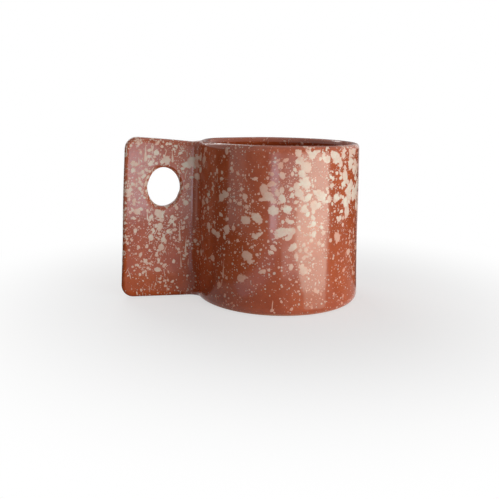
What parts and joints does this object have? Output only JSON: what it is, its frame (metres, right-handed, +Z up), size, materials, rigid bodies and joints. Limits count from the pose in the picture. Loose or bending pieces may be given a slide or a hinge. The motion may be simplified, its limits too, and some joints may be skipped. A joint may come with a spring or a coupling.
{
  "type": "mug",
  "caption": "Straight-sided slab-built terracotta mug with a flat upright slab handle pierced by an oval finger hole, glazed and splattered with pale slip.",
  "frame": {"origin": "centre of the flat foot, on the table", "axes": "+Z up along the barrel's axis; the handle points along -X, so X is the long way; Y crosses the handle"},
  "size_m": [0.1259, 0.087, 0.0835],
  "materials": {
    "glazed_terracotta": "satin clear glaze over red clay, with splattered pale slip",
    "bare_terracotta": "bare fired red clay"
  },
  "bodies": {
    "root": {"floor_disc": "bare_terracotta", "barrel_slab": "glazed_terracotta", "handle_fin": "glazed_terracotta", "root_coil_front": "glazed_terracotta", "root_coil_back": "glazed_terracotta", "floor_coil": "glazed_terracotta"}
  },
  "joints": []
}
